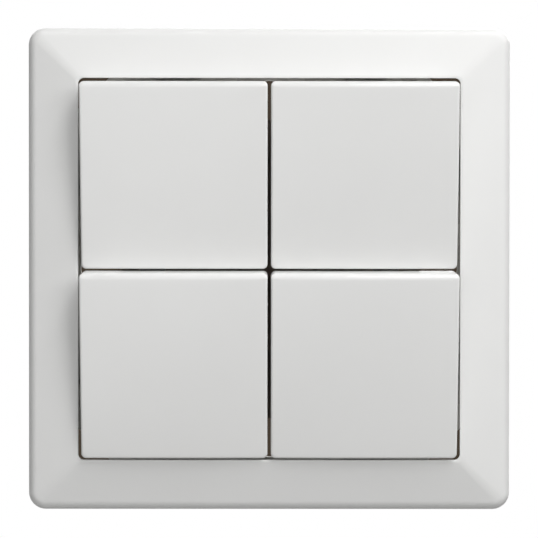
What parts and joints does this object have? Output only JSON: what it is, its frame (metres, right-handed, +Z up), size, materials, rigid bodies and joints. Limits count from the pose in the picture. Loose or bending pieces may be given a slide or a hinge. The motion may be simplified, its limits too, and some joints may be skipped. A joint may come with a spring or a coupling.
{
  "type": "four-gang light switch",
  "caption": "Flush square wall light switch: rocker keys set in a square inside a sloped cover frame, on a steel support plate, with push-in wire terminals in a housing behind.",
  "frame": {"origin": "centre of the wall plane behind the switch, midway between the box screws", "axes": "+X to the right, +Z up as it hangs on the wall, -Y out into the room, +Y into the wall"},
  "size_m": [0.084, 0.0347, 0.084],
  "materials": {
    "frame_plastic": "white moulded plastic, satin",
    "key_plastic": "white moulded plastic, slightly glossy",
    "mechanism_plastic": "dark grey moulded plastic",
    "housing_plastic": "light grey moulded plastic",
    "dolly_plastic": "natural moulded plastic",
    "plunger_plastic": "natural moulded plastic, smooth",
    "plated_steel": "stamped steel, zinc plated",
    "screw_steel": "zinc plated",
    "spring_steel": "bright spring steel",
    "brass": "stamped brass",
    "copper": "stamped copper",
    "contact_silver": "silver contact pad"
  },
  "bodies": {
    "base": {"cover_frame": "frame_plastic", "support_plate": "plated_steel", "mechanism_cover": "mechanism_plastic", "housing": "housing_plastic", "housing_screws": "screw_steel", "common_busbar": "brass", "wire_clamp_springs": "spring_steel", "fixed_contacts": "contact_silver", "output_terminal_upper_left": "brass", "output_terminal_upper_right": "brass", "output_terminal_lower_left": "brass", "output_terminal_lower_right": "brass"},
    "rocker_upper_left": {"key_upper_left": "key_plastic", "dolly_upper_left": "dolly_plastic", "plunger_spring_upper_left": "spring_steel"},
    "pin_upper_left": {"plunger_upper_left": "plunger_plastic"},
    "tilter_upper_left": {"contact_seesaw_upper_left": "copper", "moving_contact_upper_left": "contact_silver"},
    "rocker_upper_right": {"key_upper_right": "key_plastic", "dolly_upper_right": "dolly_plastic", "plunger_spring_upper_right": "spring_steel"},
    "pin_upper_right": {"plunger_upper_right": "plunger_plastic"},
    "tilter_upper_right": {"contact_seesaw_upper_right": "copper", "moving_contact_upper_right": "contact_silver"},
    "rocker_lower_left": {"key_lower_left": "key_plastic", "dolly_lower_left": "dolly_plastic", "plunger_spring_lower_left": "spring_steel"},
    "pin_lower_left": {"plunger_lower_left": "plunger_plastic"},
    "tilter_lower_left": {"contact_seesaw_lower_left": "copper", "moving_contact_lower_left": "contact_silver"},
    "rocker_lower_right": {"key_lower_right": "key_plastic", "dolly_lower_right": "dolly_plastic", "plunger_spring_lower_right": "spring_steel"},
    "pin_lower_right": {"plunger_lower_right": "plunger_plastic"},
    "tilter_lower_right": {"contact_seesaw_lower_right": "copper", "moving_contact_lower_right": "contact_silver"}
  },
  "joints": [
    {"name": "rock_upper_left", "type": "hinge", "parent": "base", "child": "rocker_upper_left", "pos_m": [-0.0163, -0.0075, 0.0163], "axis": [-1, 0, 0], "range_deg": [0, 12]},
    {"name": "tilt_upper_left", "type": "hinge", "parent": "base", "child": "tilter_upper_left", "pos_m": [-0.0163, 0.00475, 0.0163], "axis": [1, 0, 0], "range_deg": [0, 16]},
    {"name": "press_upper_left", "type": "slide", "parent": "rocker_upper_left", "child": "pin_upper_left", "axis": [0, -0.9945, -0.1045], "range_m": [0, 0.0005], "stiffness_N_per_m": 500, "springref_m": -0.001, "deforming": ["plunger_spring_upper_left"]},
    {"name": "rock_upper_right", "type": "hinge", "parent": "base", "child": "rocker_upper_right", "pos_m": [0.0163, -0.0075, 0.0163], "axis": [-1, 0, 0], "range_deg": [0, 12]},
    {"name": "tilt_upper_right", "type": "hinge", "parent": "base", "child": "tilter_upper_right", "pos_m": [0.0163, 0.00475, 0.0163], "axis": [1, 0, 0], "range_deg": [0, 16]},
    {"name": "press_upper_right", "type": "slide", "parent": "rocker_upper_right", "child": "pin_upper_right", "axis": [0, -0.9945, -0.1045], "range_m": [0, 0.0005], "stiffness_N_per_m": 500, "springref_m": -0.001, "deforming": ["plunger_spring_upper_right"]},
    {"name": "rock_lower_left", "type": "hinge", "parent": "base", "child": "rocker_lower_left", "pos_m": [-0.0163, -0.0075, -0.0163], "axis": [-1, 0, 0], "range_deg": [0, 12]},
    {"name": "tilt_lower_left", "type": "hinge", "parent": "base", "child": "tilter_lower_left", "pos_m": [-0.0163, 0.00475, -0.0163], "axis": [1, 0, 0], "range_deg": [0, 16]},
    {"name": "press_lower_left", "type": "slide", "parent": "rocker_lower_left", "child": "pin_lower_left", "axis": [0, -0.9945, -0.1045], "range_m": [0, 0.0005], "stiffness_N_per_m": 500, "springref_m": -0.001, "deforming": ["plunger_spring_lower_left"]},
    {"name": "rock_lower_right", "type": "hinge", "parent": "base", "child": "rocker_lower_right", "pos_m": [0.0163, -0.0075, -0.0163], "axis": [-1, 0, 0], "range_deg": [0, 12]},
    {"name": "tilt_lower_right", "type": "hinge", "parent": "base", "child": "tilter_lower_right", "pos_m": [0.0163, 0.00475, -0.0163], "axis": [1, 0, 0], "range_deg": [0, 16]},
    {"name": "press_lower_right", "type": "slide", "parent": "rocker_lower_right", "child": "pin_lower_right", "axis": [0, -0.9945, -0.1045], "range_m": [0, 0.0005], "stiffness_N_per_m": 500, "springref_m": -0.001, "deforming": ["plunger_spring_lower_right"]}
  ],
  "couplings": [
    {"joint": "tilt_upper_left", "follows": "rock_upper_left", "ratio": 1.3333},
    {"joint": "tilt_upper_right", "follows": "rock_upper_right", "ratio": 1.3333},
    {"joint": "tilt_lower_left", "follows": "rock_lower_left", "ratio": 1.3333},
    {"joint": "tilt_lower_right", "follows": "rock_lower_right", "ratio": 1.3333}
  ]
}
